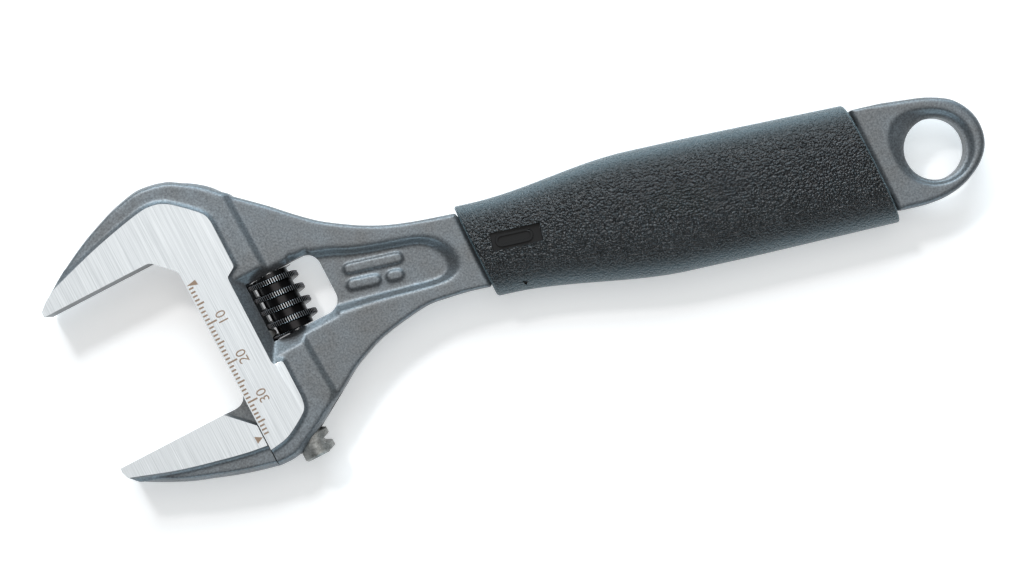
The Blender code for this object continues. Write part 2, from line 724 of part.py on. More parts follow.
def lowest_and_highest(pieces):
    graph = bpy.context.evaluated_depsgraph_get()
    corners = []
    for piece in pieces:
        solid = piece.evaluated_get(graph)
        corners.extend(solid.matrix_world @ vertex.co for vertex in solid.data.vertices)
    low = Vector([min(corner[axis] for corner in corners) for axis in range(3)])
    high = Vector([max(corner[axis] for corner in corners) for axis in range(3)])
    return low, high


def main():
    clear_scene()
    forged = make_material("black phosphated forging", (0.15, 0.15, 0.155), 0.5, 0.6)
    jaw_steel = make_material("black phosphated jaw steel", (0.16, 0.16, 0.165), 0.48, 0.6)
    worm_steel = make_material("blackened worm steel", (0.03, 0.03, 0.032), 0.35, 0.8)
    pin_steel = make_material("bright pin steel", (0.5, 0.5, 0.5), 0.35, 1.0)
    spring_steel = make_material("spring wire", (0.4, 0.4, 0.4), 0.3, 1.0)
    grip_plastic = make_material("grained grip elastomer", (0.03, 0.033, 0.037), 0.6, 0.0)

    wrench = bpy.data.objects.new("wrench_frame", None)
    slide = bpy.data.objects.new("slide_frame", None)
    worm_axis = bpy.data.objects.new("worm_axis", None)
    for empty in (wrench, slide, worm_axis):
        bpy.context.scene.collection.objects.link(empty)
    slide.parent = wrench
    worm_axis.parent = wrench
    worm_axis.matrix_local = HEAD_TO_WORLD @ Matrix.Translation((WORM_AXIS_X, 0.0, 0.0))

    body = build_body(forged)
    grip = build_grip(grip_plastic)
    jaw = build_sliding_jaw(jaw_steel)
    worm = build_worm(worm_steel)
    pin = build_pin(pin_steel)
    spring = build_spring(spring_steel)
    hang_from(wrench, body)
    hang_from(wrench, grip)
    hang_from(slide, jaw)
    for piece in (worm, pin, spring):
        hang_from(worm_axis, piece)

    bpy.context.view_layer.update()
    low, high = lowest_and_highest((body, grip, jaw))
    wrench.location = -Vector(((low.x + high.x) / 2, (low.y + high.y) / 2, low.z))


main()
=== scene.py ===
# Looks of the adjustable wrench: forged body, ground faces, worm, grained grip, studio.
import json
from math import atan, cos, copysign, degrees, pi, radians, sin, tan

import bmesh
import bpy
import numpy as np
from mathutils import Matrix, Vector


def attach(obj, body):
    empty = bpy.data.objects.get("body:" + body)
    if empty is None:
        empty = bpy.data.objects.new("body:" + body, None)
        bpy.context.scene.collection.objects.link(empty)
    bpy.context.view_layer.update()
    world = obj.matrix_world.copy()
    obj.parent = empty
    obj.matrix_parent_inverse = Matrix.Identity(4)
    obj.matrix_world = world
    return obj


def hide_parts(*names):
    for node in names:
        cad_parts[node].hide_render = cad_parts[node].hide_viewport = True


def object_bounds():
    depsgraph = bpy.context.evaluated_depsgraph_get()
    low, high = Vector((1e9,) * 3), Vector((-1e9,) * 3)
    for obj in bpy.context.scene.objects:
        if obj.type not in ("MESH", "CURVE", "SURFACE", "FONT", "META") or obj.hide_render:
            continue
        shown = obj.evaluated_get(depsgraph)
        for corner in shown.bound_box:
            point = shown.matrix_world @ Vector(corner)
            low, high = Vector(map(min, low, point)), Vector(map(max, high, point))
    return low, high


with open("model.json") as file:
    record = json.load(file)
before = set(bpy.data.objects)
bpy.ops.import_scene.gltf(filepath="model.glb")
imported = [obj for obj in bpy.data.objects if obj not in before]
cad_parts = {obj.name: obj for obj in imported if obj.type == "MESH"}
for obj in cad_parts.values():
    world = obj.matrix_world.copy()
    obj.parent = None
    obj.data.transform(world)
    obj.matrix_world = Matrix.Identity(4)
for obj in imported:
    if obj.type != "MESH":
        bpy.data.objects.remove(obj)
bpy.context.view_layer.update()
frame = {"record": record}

print("frame loaded")

# Where the wrench's own two frames stand, in millimetres: the handle's starts at the hanging
# hole, the head's at the zero of the jaw scale, with y the way the sliding jaw closes.
layout = {
    "wormInHead": (17.55, -13.1),
    "headAngle": 15.0,
    "halfHead": 6.25,        # half thickness over the ground faces
    "openingY": -29.9,       # face of the sliding jaw, wide open
    "fixedFaceY": 8.6,
    "gripFrontX": -107.6,
    "gripRearX": -14.7,
    "shoulderSlant": tan(radians(14.0)),
    "farOut": 30,            # a cutter this far from the mid-plane clears every piece
}

jointList = frame["record"]["behaviour"]["joints"]
wormJoint = [joint for joint in jointList if joint["name"] == "worm_spin"][0]
holeSpace = [space for space in frame["record"]["physics"]["openings"]
             if space["name"] == "hanging_hole"][0]
holeLow, holeHigh = [Vector(corner) for corner in holeSpace["box_m"]]
handleFrame = Matrix.Translation((holeLow + holeHigh) / 2) @ Matrix.Scale(0.001, 4)
headTurn = Matrix.Rotation(radians(layout["headAngle"]), 4, "Z")
wormShift = Matrix.Translation((-layout["wormInHead"][0], -layout["wormInHead"][1], 0))
headFrame = Matrix.Translation(wormJoint["pos_m"]) @ headTurn @ Matrix.Scale(0.001, 4) @ wormShift
headInHandle = handleFrame.inverted() @ headFrame


# Shapes are in millimetres until a piece is placed.
def curveThrough(knots, guide=None, spacing=0.8):
    # smooth curve through the knots, with points about one spacing apart; a guide's own knots
    # set the number of points instead, so that two curves can be joined point for point
    spots = [Vector(knot) for knot in knots]
    if len(spots) < 3:
        return spots
    paces = [Vector(knot) for knot in guide or knots]
    line = [spots[0] * 2 - spots[1]] + spots + [spots[-1] * 2 - spots[-2]]
    points = []
    for i in range(len(spots) - 1):
        before, start, stop, after = line[i:i + 4]
        steps = max(2, round((paces[i + 1] - paces[i]).length / spacing))
        for step in range(steps):
            t = step / steps
            bend = (before * 2 - start * 5 + stop * 4 - after) * t * t
            twist = (start * 3 - before - stop * 3 + after) * t ** 3
            points.append((start * 2 + (stop - before) * t + bend + twist) / 2)
    return points + [spots[-1]]


def outline(*runs):
    points = []
    for run in runs:
        for point in curveThrough(run):
            if not points or (point - points[-1]).length > 0.02:
                points.append(point)
    return points


def inHead(knots):
    return [(headInHandle @ Vector((x, y, 0))).to_2d() for x, y in knots]


def inset(points, amount):
    # the outline moved inwards along its own normals, outwards where the amount is negative
    count = len(points)
    area = sum(points[i].cross(points[(i + 1) % count]) for i in range(count))
    turn = 1 if area > 0 else -1
    moved = []
    for i in range(count):
        along = points[(i + 1) % count] - points[i - 1]
        normal = Vector((-along.y, along.x)).normalized() * turn
        moved.append(points[i] + normal * amount)
    return moved


def newObject(name, shape):
    bmesh.ops.recalc_face_normals(shape, faces=shape.faces)
    mesh = bpy.data.meshes.new(name)
    shape.to_mesh(mesh)
    shape.free()
    thing = bpy.data.objects.new(name, mesh)
    bpy.context.scene.collection.objects.link(thing)
    return thing


def skin(name, rings, closedLoop=False):
    shape = bmesh.new()
    rows = [[shape.verts.new(point) for point in ring] for ring in rings]
    pairs = list(zip(rows, rows[1:]))
    if closedLoop:
        pairs.append((rows[-1], rows[0]))
    for low, high in pairs:
        for i in range(len(low)):
            j = (i + 1) % len(low)
            shape.faces.new((low[i], low[j], high[j], high[i]))
    if not closedLoop:
        shape.faces.new(rows[0][::-1])
        shape.faces.new(rows[-1])
    return newObject(name, shape)


def plate(name, layers):
    # a solid through flat outlines with equally many points, each at its own height
    return skin(name, [[(p.x, p.y, height) for p in points] for points, height in layers])


def bothWays(name, points, steps):
    # steps are (inset, height) from the mid-plane up; the lower half mirrors the upper
    upper = [(inset(points, amount), height) for amount, height in steps]
    lower = [(ring, -height) for ring, height in reversed(upper)]
    return plate(name, lower + upper)


def turned(name, profile, sides=64):
    # solid of revolution about y, profile as (radius, y)
    rings = []
    for radius, along in profile:
        turns = [2 * pi * side / sides for side in range(sides)]
        rings.append([(radius * sin(turn), along, radius * cos(turn)) for turn in turns])
    return skin(name, rings)


def bake(thing):
    graph = bpy.context.evaluated_depsgraph_get()
    mesh = bpy.data.meshes.new_from_object(thing.evaluated_get(graph))
    thing.modifiers.clear()
    old = thing.data
    thing.data = mesh
    bpy.data.meshes.remove(old)


def carve(target, tool, how="DIFFERENCE", solver="MANIFOLD"):
    step = target.modifiers.new("carve", "BOOLEAN")
    step.operation = how
    step.object = tool
    step.solver = solver
    bake(target)
    bpy.data.objects.remove(tool)
    return target


def forge(thing, voxel, passes):
    # one skin over everything joined so far, with the soft edges of a forging
    skinOver = thing.modifiers.new("skin", "REMESH")
    skinOver.mode = "VOXEL"
    skinOver.voxel_size = voxel
    soften = thing.modifiers.new("soften", "SMOOTH")
    soften.factor = 0.5
    soften.iterations = passes
    bake(thing)


def place(thing, matrix, body, slot, *nodes):
    thing.data.transform(matrix)
    thing.data.update()
    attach(thing, body)
    if nodes:
        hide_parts(*nodes)


def smoothShade(thing, angle=32):
    thing.data.shade_smooth()
    thing.data.set_sharp_from_angle(angle=radians(angle))


def cut(target, name, points, reach=layout["farOut"]):
    # a straight cut through the whole thickness, or as far as the reach to both sides
    carve(target, plate(name, [(points, -reach), (points, reach)]))


def joinUp(target, *others):
    for other in others:
        carve(target, other, "UNION")
    return target


def grind(target):
    # both faces ground flat and parallel
    everywhere = box(-260, 60, -90, 90)
    half = layout["halfHead"]
    carve(target, plate("grind", [(everywhere, -half), (everywhere, half)]), "INTERSECT")


def arc(centre, radius, start, span, steps):
    turns = [radians(start + span * step / steps) for step in range(steps + 1)]
    return [Vector((centre[0] + radius * cos(turn), centre[1] + radius * sin(turn)))
            for turn in turns]


def pill(left, right, v, halfWidth, steps=12):
    # bar with round ends
    return (arc((right - halfWidth, v), halfWidth, -90, 180, steps)
            + arc((left + halfWidth, v), halfWidth, 90, 180, steps))


def box(left, right, low, high):
    return [Vector((left, low)), Vector((right, low)), Vector((right, high)), Vector((left, high))]


def circle(radius, sides=96):
    turns = [2 * pi * side / sides for side in range(sides)]
    return [Vector((radius * cos(turn), radius * sin(turn))) for turn in turns]


body = {
    "voxel": 0.34,           # the skin's grid, which also sets how soft its edges are
    "softPasses": 7,
    "halfWeb": 4.4,          # half thicknesses of the neck, the shelf round it and the tail
    "halfShelf": 5.4,
    "halfTail": 4.0,
    "shelfSlope": 1.2,
    # flare round the ground faces, and the recess wall from floor to rim, with its heights
    "padFlare": [(-1.7, 5.25), (-0.85, 5.5), (-0.35, 5.85), (0.0, 6.25), (0.35, 7.3)],
    "recessWall": [(0.0, 2.2), (0.2, 2.35), (0.72, 4.15), (1.0, 4.45), (1.0, 8.0)],
    "hollowRight": 28.0,     # thumb slopes by the worm window, low and high on the slope
    "hollowLow": (-20.2, -6.0, 3.1),
    "hollowHigh": (-26.6, -1.7, 7.3),
    "hollowFront": (11.9, 8.35),
    "hollowBack": (12.6, 12.6),
    "barHalf": 1.05,
    "barRise": 0.6,
    "bars": [(-137.8, -124.3, 2.2), (-137.8, -130.2, -1.6), (-128.6, -124.9, -1.6)],
    "recessFloor": 2.2,
    "halfTang": (8.2, 3.2),
    "holeRadius": 7.1,
    "eyeDepth": 1.5,         # dish round the hanging hole
    "eyeFloor": (6.6, 7.9),
    "eyeRim": (9.1, 2.3, 0.6),
    "eyePull": (138, 262),   # where the rim is drawn out, and where it is flattened
    "boreX": 9.2,            # bore for the rack, and the slot from the mouth into it
    "boreRadius": 4.0,
    "slotLeft": -5.4,
    "slotHalf": 2.2,
    "slotTop": 11.3,
    "window": (11.5, 29.25, -20.4, -5.8),
    "windowCorner": 3.4,
    "windowDraft": 1.1,
    "pinHole": [(2.3, -1.9), (2.3, -21.6), (2.8, -21.6), (2.8, -90)],
}

backKnots = [(15.1, 17.7), (12.6, 19.8), (8.1, 22.8), (5.3, 23.85), (3.3, 24.35), (0.8, 24.7),
             (-1.8, 24.6), (-7.4, 23.3), (-12.6, 21.4), (-16.0, 20.0), (-20.8, 17.6),
             (-24.4, 15.5), (-28.0, 13.1), (-30.5, 11.5)]
heelKnots = [(-0.7, -46.1), (3.2, -46.2), (5.4, -45.8), (7.7, -44.7), (12.6, -42.2),
             (17.2, -39.4)]
upperNeck = [(-116.1, 9.4), (-121.1, 9.6), (-126.1, 10.1), (-131.2, 11.1), (-136.2, 12.6),
             (-141.3, 14.5), (-146.3, 17.1), (-151.6, 20.2), (-156.7, 22.9), (-160.1, 24.7)]
lowerNeck = [(-143.3, -23.9), (-140.0, -20.4), (-136.5, -17.6), (-133.2, -15.3),
             (-128.2, -12.8), (-121.1, -10.0), (-116.1, -9.3), (-111.0, -8.9)]
recessRim = [(-150.0, 8.9), (-141.0, 8.5), (-136.0, 7.5), (-131.0, 7.0), (-121.0, 6.5),
             (-117.0, 5.7), (-114.3, 4.3), (-112.2, 2.2), (-111.1, -0.4), (-110.9, -3.0),
             (-112.7, -4.9), (-116.0, -5.9), (-121.0, -6.3), (-131.0, -6.8), (-141.0, -7.9),
             (-150.0, -8.8)]
recessFloor = [(-150.0, 5.9), (-141.0, 5.6), (-136.0, 4.9), (-131.0, 4.5), (-121.0, 4.1),
               (-118.3, 3.2), (-116.8, 2.1), (-115.6, 0.6), (-115.0, -0.9), (-115.5, -2.7),
               (-117.2, -4.0), (-119.0, -4.3), (-121.0, -4.4), (-131.0, -4.6), (-141.0, -4.9),
               (-150.0, -5.2)]
tailKnots = [(-9.8, -12.2), (-4.7, -12.1), (-0.2, -11.4), (3.8, -9.9), (6.7, -8.0),
             (9.3, -5.5), (11.0, -2.7), (11.6, -0.2), (11.5, 2.3), (10.7, 5.1), (9.0, 7.7),
             (6.5, 9.9), (3.7, 11.1), (-0.2, 12.0), (-4.7, 12.4), (-10.2, 12.8)]


def silhouette():
    front = layout["gripFrontX"] - 0.3
    slant = layout["shoulderSlant"]
    return outline(
        inHead([(-4, -46.1)]),
        inHead(heelKnots) + lowerNeck + [(front + 9.0 * slant, -8.9)],
        [(front - 9.3 * slant, 9.3)] + upperNeck + inHead(backKnots),
        inHead([(-32.3, 9.8), (-32.1, 6.0)]),
        inHead([(-4, 3)]),
    )


def shelfRing():
    return outline(
        inHead([(-4, -45.4)]),
        inHead([(x - 0.35, y + 0.75) for x, y in heelKnots[:-1]] + [(16.9, -38.6)]),
        inHead([(18.3, -36.6), (17.8, -24.0), (17.2, 0), (16.9, 14.5)]),
        inHead([(x - 0.25, y - 0.5) for x, y in backKnots[1:]]),
        inHead([(-32.2, 9.8), (-32.1, 6.0)]),
        inHead([(-4, 3)]),
    )


def handleSide(point, shift):
    # points on the handle's side of the head move towards the handle
    spot = headInHandle.inverted() @ Vector((point.x, point.y, 0))
    share = min(max((spot.x - 14.5) / 2.0, 0.0), 1.0) if -40 < spot.y < 16 else 0.0
    return (headInHandle @ Vector((spot.x + shift * share, spot.y, 0))).to_2d()


def groundRing():
    return outline(
        inHead([(-4, -41.9)]),
        inHead([(0.4, -41.8), (4.8, -40.9), (9.7, -38.1), (11.2, -36.5), (11.6, -34.0)]),
        inHead([(11.6, -24.9)]),
        inHead([(9.2, -23.8)]),
        inHead([(9.2, -2.5)]),
        inHead([(11.7, -1.0)]),
        inHead([(11.7, 10.2), (11.2, 12.3), (9.6, 14.2), (7.05, 16.6), (4.6, 18.6), (1.7, 19.7),
                (-2.5, 19.6), (-13.5, 17.2), (-24.7, 13.9), (-29.9, 12.1)]),
        inHead([(-31.8, 10.6), (-31.6, 6.0)]),
        inHead([(-4, 3)]),
    )


def raisedBar(left, right, v, side):
    # a plain raised bar on the recess floor
    points = pill(left, right, v, body["barHalf"], 8)
    floor = body["recessFloor"]
    return plate("bar", [(points, side * (floor - 1)), (points, side * (floor + body["barRise"]))])


def hollowTool(side):
    # slopes round the worm window that let a thumb in, steeper above than below
    lowLeft, highLeft = body["hollowFront"] if side > 0 else body["hollowBack"]
    right = body["hollowRight"]
    layers = []
    for left, (bottom, top, height) in ((lowLeft, body["hollowLow"]),
                                        (highLeft, body["hollowHigh"])):
        layers.append((inHead(box(left, right, bottom, top)), side * height))
    return plate("hollow", layers)


def recessTool(side):
    # the thumb recess in the neck, its wall rolling out of the floor
    rim = curveThrough(recessRim)
    floor = curveThrough(recessFloor, recessRim)
    layers = []
    for share, height in body["recessWall"]:
        ring = [low.lerp(high, share) for low, high in zip(floor, rim)]
        layers.append((ring, side * height))
    return plate("recess", layers)


def roundedWindow(draft):
    left, right, low, high = body["window"]
    corner = body["windowCorner"]
    lowerCorner = arc((right - corner, low + corner), corner, -90, 90, 12)
    upperCorner = arc((right - corner, high - corner), corner, 0, 90, 12)
    return ([Vector((left + draft, low))] + lowerCorner + upperCorner
            + [Vector((left + draft, high))])


def dishReach():
    # the dish round the hanging hole, drawn out towards the handle's upper edge
    base, stretch, flatten = body["eyeRim"]
    towards, away = body["eyePull"]
    reaches = []
    for side in range(96):
        turn = degrees(2 * pi * side / 96)
        pull = max(0.0, cos(radians(turn - towards)))
        lower = max(0.0, cos(radians(turn - away)))
        reaches.append(base + stretch * pull ** 5 - flatten * lower ** 2)
    return reaches


def makeBody():
    halfWeb, halfShelf = body["halfWeb"], body["halfShelf"]
    shape = bothWays("forged_body_surface", silhouette(), [(0, 3.3), (0.35, halfWeb)])
    low, high = shelfRing(), inset(shelfRing(), 0.4)
    wide = [handleSide(point, body["shelfSlope"]) for point in low]
    layers = [(wide, halfWeb - 0.1), (low, halfShelf - 0.15), (high, halfShelf)]
    shelf = plate("shelf", [(ring, -height) for ring, height in reversed(layers)] + layers)
    ground = bothWays("ground", groundRing(), body["padFlare"])
    carve(ground, bothWays("limit", silhouette(), [(0.1, 5.0), (0.6, 7.4)]), "INTERSECT")
    slant = layout["shoulderSlant"]
    front = layout["gripFrontX"] - 4
    rear = layout["gripRearX"] + 4
    wideTang, halfTang = body["halfTang"]
    shift = wideTang * slant
    tangRing = [Vector((front + shift, -wideTang)), Vector((rear + shift, -wideTang)),
                Vector((rear - shift, wideTang)), Vector((front - shift, wideTang))]
    tang = plate("tang", [(tangRing, -halfTang), (tangRing, halfTang)])
    rearFace = layout["gripRearX"] + 0.5
    tail = bothWays("tail", outline(
        [(rearFace - 12.7 * slant, 12.7)], [(rearFace + 12.1 * slant, -12.1)], tailKnots,
    ), [(0.0, 2.9), (0.3, 3.6), (0.9, body["halfTail"])])
    joinUp(shape, shelf, ground, tang, tail)
    for side in (1, -1):
        carve(shape, recessTool(side))
        carve(shape, hollowTool(side))
        rim = [point * reach for point, reach in zip(circle(1.0), dishReach())]
        top, depth = body["halfTail"], body["eyeDepth"]
        inner, outer = body["eyeFloor"]
        carve(shape, plate("dish", [
            (circle(inner), side * (top - depth)), (circle(outer), side * (top - 0.85 * depth)),
            (inset(rim, 0.35), side * (top - 0.3)),
            (rim, side * (top + 0.05)), (rim, side * 6)]))
        for left, right, row in body["bars"]:
            joinUp(shape, raisedBar(left, right, row, side))
    forge(shape, body["voxel"], body["softPasses"])
    print("body forged", len(shape.data.polygons))
    machineBody(shape)
    print("body machined", len(shape.data.polygons))
    return shape


def machineBody(shape):
    half, farOut = layout["halfHead"], layout["farOut"]
    faceY = layout["fixedFaceY"]
    grind(shape)
    cut(shape, "mouth", outline(
        inHead([(0, -90)]), inHead([(0, 2.9), (-0.25, 3.75), (-0.8, 4.45)]),
        inHead([(-4.3, faceY - 0.7), (-4.95, faceY - 0.2), (-5.8, faceY)]),
        inHead([(-60, faceY)]), inHead([(-60, -90)])))
    cut(shape, "tip", outline(
        inHead([(-30.3, 11.75)]), inHead([(-31.3, 11.0), (-31.8, 10.3), (-31.85, 8.5)]),
        inHead([(-31.5, 5)]), inHead([(-60, 5)]), inHead([(-60, 33)])))
    front, back = inHead(roundedWindow(0)), inHead(roundedWindow(body["windowDraft"]))
    window = [(back, -farOut), (back, -half), (front, half), (front, farOut)]
    carve(shape, plate("window", window))
    boreX, left, top = body["boreX"], body["slotLeft"], body["slotTop"]
    radius = body["boreRadius"]
    bore = turned("bore", [(radius, -80), (radius, 60)])
    bore.data.transform(headInHandle @ Matrix.Translation((boreX, 0, 0)))
    carve(shape, bore)
    slot = inHead([(left, -80), (boreX, -80), (boreX, top), (left, top)])
    cut(shape, "slot", slot, body["slotHalf"])
    pinHole = turned("pinHole", body["pinHole"], 48)
    pinHole.data.transform(headInHandle @ Matrix.Translation((layout["wormInHead"][0], 0, 0)))
    carve(shape, pinHole)
    cut(shape, "hole", circle(body["holeRadius"]))


def linear(hexColour):
    values = [int(hexColour[i:i + 2], 16) / 255 for i in (1, 3, 5)]
    return [v / 12.92 if v <= 0.04045 else ((v + 0.055) / 1.055) ** 2.4 for v in values] + [1.0]


def startMaterial(name, colour=None, **settings):
    # settings are shader sockets that are the same all over, underscores standing for spaces
    material = bpy.data.materials.new(name)
    material.use_nodes = True
    shader = material.node_tree.nodes["Principled BSDF"]
    if colour:
        shader.inputs["Base Color"].default_value = linear(colour)
    for key, value in settings.items():
        shader.inputs[key.replace("_", " ")].default_value = value
    return material


def addNode(tree, kind, settings=None, inputs=None):
    # settings go on the node; inputs are values, or sockets to link from
    node = tree.nodes.new(kind)
    for key, value in (settings or {}).items():
        setattr(node, key, value)
    for key, value in (inputs or {}).items():
        if isinstance(value, bpy.types.NodeSocket):
            tree.links.new(value, node.inputs[key])
        else:
            node.inputs[key].default_value = value
    return node


def forgingMaterial(name, light, dark, patch):
    # Drop-forged steel, shot-blasted and phosphated: a dull grey skin, faintly sparkling, that
    # drifts between cold and warm grey over broad patches, patch being their width in mm. The
    # blasted pits are drawn 0.45 mm across, about three times real ones, so that they show.
    material = startMaterial(name, Metallic=0.6, Roughness=0.42)
    tree = material.node_tree
    shader = tree.nodes["Principled BSDF"]
    spot = addNode(tree, "ShaderNodeTexCoord").outputs["Object"]
    grain = addNode(tree, "ShaderNodeTexNoise", None, {
        "Vector": spot, "Scale": 1000 / 0.45, "Detail": 3.0, "Roughness": 0.6})
    patches = addNode(tree, "ShaderNodeTexNoise", None, {
        "Vector": spot, "Scale": 1000 / patch, "Detail": 3.0, "Roughness": 0.55})
    ramp = addNode(tree, "ShaderNodeMapRange", None, {
        "Value": grain.outputs["Fac"], "From Min": 0.3, "From Max": 0.7,
        "To Min": 0.65, "To Max": 1.35})
    warm = addNode(tree, "ShaderNodeMix", {"data_type": "RGBA"}, {
        "Factor": patches.outputs["Fac"], 6: linear(dark), 7: linear(light)})
    shade = addNode(tree, "ShaderNodeMix", {"data_type": "RGBA", "blend_type": "MULTIPLY"}, {
        "Factor": 1.0, 6: warm.outputs[2], 7: ramp.outputs["Result"]})
    tree.links.new(shade.outputs[2], shader.inputs["Base Color"])
    bump = addNode(tree, "ShaderNodeBump", None, {
        "Height": grain.outputs["Fac"], "Strength": 0.35, "Distance": 0.00006})
    tree.links.new(bump.outputs["Normal"], shader.inputs["Normal"])
    return material


def groundMaterial():
    # Tool steel, surface-ground along the head: bright flat faces with fine streaks from the
    # wheel that run the way of the jaw's travel. Grit lines are drawn 0.24 mm wide and 26 mm
    # long, about five times as wide as real ones, so that they show.
    material = startMaterial("surface-ground tool steel", Metallic=0.9, Roughness=0.3)
    tree = material.node_tree
    shader = tree.nodes["Principled BSDF"]
    spot = addNode(tree, "ShaderNodeTexCoord").outputs["Object"]
    along = addNode(tree, "ShaderNodeMapping", {"vector_type": "TEXTURE"}, {
        "Vector": spot, "Rotation": (0, 0, radians(layout["headAngle"])),
        "Scale": (0.00024, 0.026, 1.0)})
    streaks = addNode(tree, "ShaderNodeTexNoise", None, {
        "Vector": along.outputs["Vector"], "Scale": 1.0, "Detail": 4.0, "Roughness": 0.65})
    tone = addNode(tree, "ShaderNodeValToRGB", None, {"Fac": streaks.outputs["Fac"]})
    stops = tone.color_ramp.elements
    for stop, position, colour in zip(stops, (0.25, 0.75), ("#a2a7ab", "#d0d4d7")):
        stop.position = position
        stop.color = linear(colour)
    tree.links.new(tone.outputs["Color"], shader.inputs["Base Color"])
    bump = addNode(tree, "ShaderNodeBump", None, {
        "Height": streaks.outputs["Fac"], "Strength": 0.12, "Distance": 0.00005})
    tree.links.new(bump.outputs["Normal"], shader.inputs["Normal"])
    return material


def gripMaterial():
    # Thermoplastic elastomer moulded in a leather-grained tool: near black, with small hard glints
    # off the grain.
    # Where the sides roll over, the base colour is made paler and bluer as a painted highlight,
    # standing in for the reflection of the lamps and the floor there. The pebbles are 0.55 mm
    # across with a 0.42 mm roughness on them, close to the real grain.
    material = startMaterial("leather-grained moulded elastomer", Roughness=0.27,
                             Specular_IOR_Level=0.5, Sheen_Weight=0.35, Sheen_Roughness=0.35,
                             Sheen_Tint=linear("#b9d3dc"))
    tree = material.node_tree
    shader = tree.nodes["Principled BSDF"]
    coordinates = addNode(tree, "ShaderNodeTexCoord")
    spot = coordinates.outputs["Object"]
    pebbles = addNode(tree, "ShaderNodeTexVoronoi", {"feature": "SMOOTH_F1"}, {
        "Vector": spot, "Scale": 1000 / 0.55, "Smoothness": 0.3})
    fine = addNode(tree, "ShaderNodeTexNoise", None, {
        "Vector": spot, "Scale": 1000 / 0.42, "Detail": 2.0})
    height = addNode(tree, "ShaderNodeMath", {"operation": "SUBTRACT"}, {
        0: fine.outputs["Fac"], 1: pebbles.outputs["Distance"]})
    bump = addNode(tree, "ShaderNodeBump", None, {
        "Height": height.outputs["Value"], "Strength": 1.0, "Distance": 0.00032})
    tree.links.new(bump.outputs["Normal"], shader.inputs["Normal"])
    # painted highlight: the base colour turns paler and bluer as the surface tilts away from
    # straight up or down, standing in for the reflection of the lamps and floor along the rolled
    # sides
    facing = addNode(tree, "ShaderNodeSeparateXYZ", None, {0: coordinates.outputs["Normal"]})
    flatness = addNode(tree, "ShaderNodeMath", {"operation": "ABSOLUTE"}, {
        0: facing.outputs["Z"]})
    edge = addNode(tree, "ShaderNodeMapRange", {"interpolation_type": "SMOOTHSTEP"}, {
        "Value": flatness.outputs["Value"], "From Min": 0.97, "From Max": 0.6})
    paintedEdgeHighlight = addNode(tree, "ShaderNodeMix", {"data_type": "RGBA"}, {
        "Factor": edge.outputs["Result"], 6: linear("#0c0d0e"), 7: linear("#3b4a50")})
    tree.links.new(paintedEdgeHighlight.outputs[2], shader.inputs["Base Color"])
    return material


def wormOrCrest(centres, normals):
    # the highest part of each serration has lost its black
    reach = np.hypot(centres[:, 0], centres[:, 2])
    outward = (centres[:, 0] * normals[:, 0] + centres[:, 2] * normals[:, 2]) / reach
    return ((reach > worm["radius"] - worm["rubbed"]) & (outward > 0.6)).astype(int)


def insideBadge(centres, normals):
    left, right, low, high = grip["badge"]
    edge = 0.01
    inside = (centres[:, 0] > left - edge) & (centres[:, 0] < right + edge)
    inside &= (centres[:, 1] > low - edge) & (centres[:, 1] < high + edge)
    return (inside & (centres[:, 2] > 4.5) & (centres[:, 2] < 6.5)).astype(int)


def dress(thing, *materials):
    thing.data.materials.clear()
    for material in materials:
        thing.data.materials.append(material)


def paintFaces(thing, materials, chooser):
    # chooser takes face centres and normals in millimetres and gives each face's material
    dress(thing, *materials)
    mesh = thing.data
    count = len(mesh.polygons)
    centres = np.empty(count * 3, np.float32)
    normals = np.empty(count * 3, np.float32)
    mesh.polygons.foreach_get("center", centres)
    mesh.polygons.foreach_get("normal", normals)
    picks = chooser(centres.reshape(-1, 3), normals.reshape(-1, 3))
    mesh.polygons.foreach_set("material_index", picks.astype(np.int32))
    mesh.update()


def groundOrForged(centres, normals):
    # 1 for the flat ground faces, 0 for the forged skin
    offFace = np.abs(np.abs(centres[:, 2]) - layout["halfHead"])
    return ((offFace < 0.01) & (np.abs(normals[:, 2]) > 0.99)).astype(int)


def groundForgedOrRack(centres, normals):
    toHead = np.array(headInHandle.inverted())
    across = centres @ toHead[0, :3] + toHead[0, 3]
    return np.where(across > 0.5, 2, groundOrForged(centres, normals))


jaw = {
    "voxel": 0.32,
    "softPasses": 4,
    "back": [(-31.6, -3.8), (-28.45, -5.8), (-23.9, -8.2), (-19.2, -10.35), (-14.4, -12.05),
             (-9.7, -13.7), (-4.9, -15.1), (-0.3, -16.2)],
    "pad": [(-31.0, -2.9), (-27.2, -4.2), (-22.5, -5.8), (-17.6, -7.2), (-12.8, -8.35),
            (-7.9, -9.45), (-2.95, -10.35), (6, -11.4)],
    "tip": [(-32.3, 0.3), (-32.35, -1.0), (-31.9, -2.5)],
    "wall": -0.25,           # end of the blade against the head
    "chamfer": 5.9,          # corner between the face and that end, taken off at 45 degrees
    "halfWeb": 1.9,
    "fillet": [(-3.2, -0.03), (-2.0, 0.22), (-1.1, 0.8), (-0.5, 1.7), (-0.3, 2.8)],
    "padFlare": [(-1.5, 4.95), (-0.8, 5.2), (-0.3, 5.75), (0.0, 6.25), (0.4, 7.3)],
}


def fromFace(knots, rise=0.0):
    # knots measured from the face of the sliding jaw, wide open
    return inHead([(x, layout["openingY"] + y + rise) for x, y in knots])


